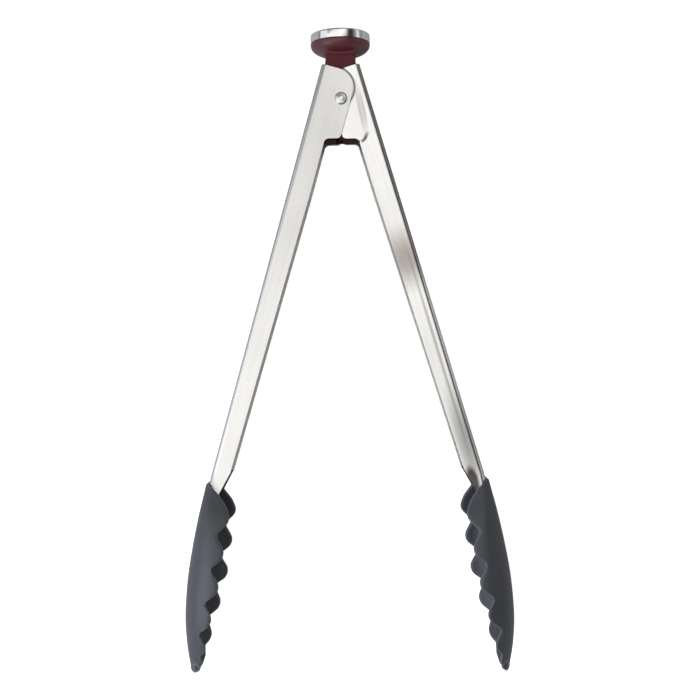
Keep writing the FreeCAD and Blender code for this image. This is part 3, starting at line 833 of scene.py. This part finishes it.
# Tones painted on the arms, fixed to the steel: centre, size, where the fade starts, colour, and for
# some a hollow middle and a turn. They stand in for what the walls mirror and for close shadow.
LEFT_SHADES = [
    ((-0.0250, 0.1200, 0.0321), (0.200, 0.190, 0.008), 0.12, (0.79, 0.785, 0.79)),
]
RIGHT_SHADES = [
    ((0.0387, 0.0333, 0.0321), (0.014, 0.019, 0.008), 0.1, (0.50, 0.46, 0.44)),
    ((0.0405, -0.0524, 0.0321), (0.0062, 0.034, 0.008), 0.1, (0.50, 0.50, 0.50)),
    ((0.0384, -0.0706, 0.0325), (0.0034, 0.0080, 0.008), 0.45, (0.13, 0.12, 0.12)),
    ((0.0441, 0.0850, 0.0317), (0.0024, 0.075, 0.004), 0.45, (0.34, 0.34, 0.34)),
    ((0.0403, -0.0100, 0.0321), (0.0010, 0.060, 0.004), 0.3, (0.62, 0.61, 0.59)),
    ((0.0393, 0.1035, 0.0310), (0.0021, 0.0150, 0.003), 0.4, (0.80, 0.77, 0.82), 0.0, 0.087),
    ((0.0403, 0.1040, 0.0310), (0.0008, 0.0135, 0.003), 0.1, (0.74, 0.72, 0.76), 0.0, 0.087),
    ((0.0382, 0.1030, 0.0310), (0.0007, 0.0120, 0.003), 0.1, (0.84, 0.82, 0.85), 0.0, 0.087),
    ((0.0377, 0.0915, 0.0310), (0.0034, 0.0014, 0.003), 0.2, (0.50, 0.50, 0.52), 0.0, -0.75),
    ((0.02992, 0.11648, 0.0310), (0.0104, 0.0104, 0.2), 0.92, (0.20, 0.19, 0.19), 0.86, 0.0),
]
steel_left = brushed_steel("arm_steel_left", grain, (0, 0, OPEN_ANGLE), STEEL, 0.27, 0.5,
                           shades=LEFT_SHADES)
steel_right = brushed_steel("arm_steel_right", grain, (0, 0, -OPEN_ANGLE), STEEL, 0.27, 0.5,
                            shades=RIGHT_SHADES)
steel_rivet = brushed_steel("rivet_steel", grain, (0, 0, 0), (0.74, 0.73, 0.71), 0.3, 0.15, 900.0, 900.0)
steel_spring = brushed_steel("spring_steel", grain, (0, 0, 0), (0.62, 0.61, 0.60), 0.25, 0.2, 1500.0, 300.0)
steel_cap = brushed_steel("cap_steel", grain, (0, 0, math.pi / 2), STEEL, 0.17, 0.35, 4200.0, 40.0)
# Painted reflections at the tips of the heads, a lighter ring round a darker spot.
TIP_REFLECTIONS = []
for tip_x, tip_y in ((-0.0700, -0.1410), (0.0703, -0.1425)):
    TIP_REFLECTIONS.append(((tip_x, tip_y, 0.026), (0.0021, 0.0034, 0.02), 0.6, 2.4))
    TIP_REFLECTIONS.append(((tip_x, tip_y, 0.026), (0.0014, 0.0022, 0.02), 0.5, 0.35))
grey = silicone("grey_silicone", (0.062, 0.065, 0.074), TIP_REFLECTIONS)
MAROON = (0.120, 0.022, 0.028)
SLIDER_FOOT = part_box("lock_slider")[0].y + 0.006
BOWL_FROM = SLIDER_FOOT + 0.034
# Both maroon finishes carry painted shade towards the slider's foot.
maroon_neck = moulded_plastic("maroon_neck", MAROON, 0.14, SLIDER_FOOT)
maroon_bowl = moulded_plastic("maroon_bowl", MAROON, 0.6, SLIDER_FOOT)

stands_for(eased_copy("left_arm", "left_channel", 0.00016), "left_arm", "left_tong", "arm_steel", steel_left)
stands_for(eased_copy("right_arm", "right_channel", 0.00016), "right_arm", "right_tong", "arm_steel",
           steel_right)
slider = eased_copy("lock_slider", "lock_body", 0.00035)
stands_for(slider, "lock_slider", "lock", "maroon_plastic", maroon_neck, maroon_bowl)
for face in slider.data.polygons:
    face.material_index = int(face.center.y > BOWL_FROM)
stands_for(eased_copy("rivet_washer", "hinge_washer", 0.0001), "rivet_washer", "pivot", "rivet_steel",
           steel_rivet)
stands_for(eased_copy("pivot_sleeve", "hinge_sleeve", 0.00015), "pivot_sleeve", "pivot", "rivet_steel",
           steel_rivet)
make_cap(steel_cap)
make_rivet(steel_rivet)
make_spring(steel_spring)
make_neck_bead(maroon_neck)
make_lining("left_lining", -1, grey)
make_lining("right_lining", 1, grey)
make_head("left_grip", -1, 269.0, 1.0, 1.0, grey)
make_head("right_grip", 1, 270.5, 0.0, 0.3, grey)
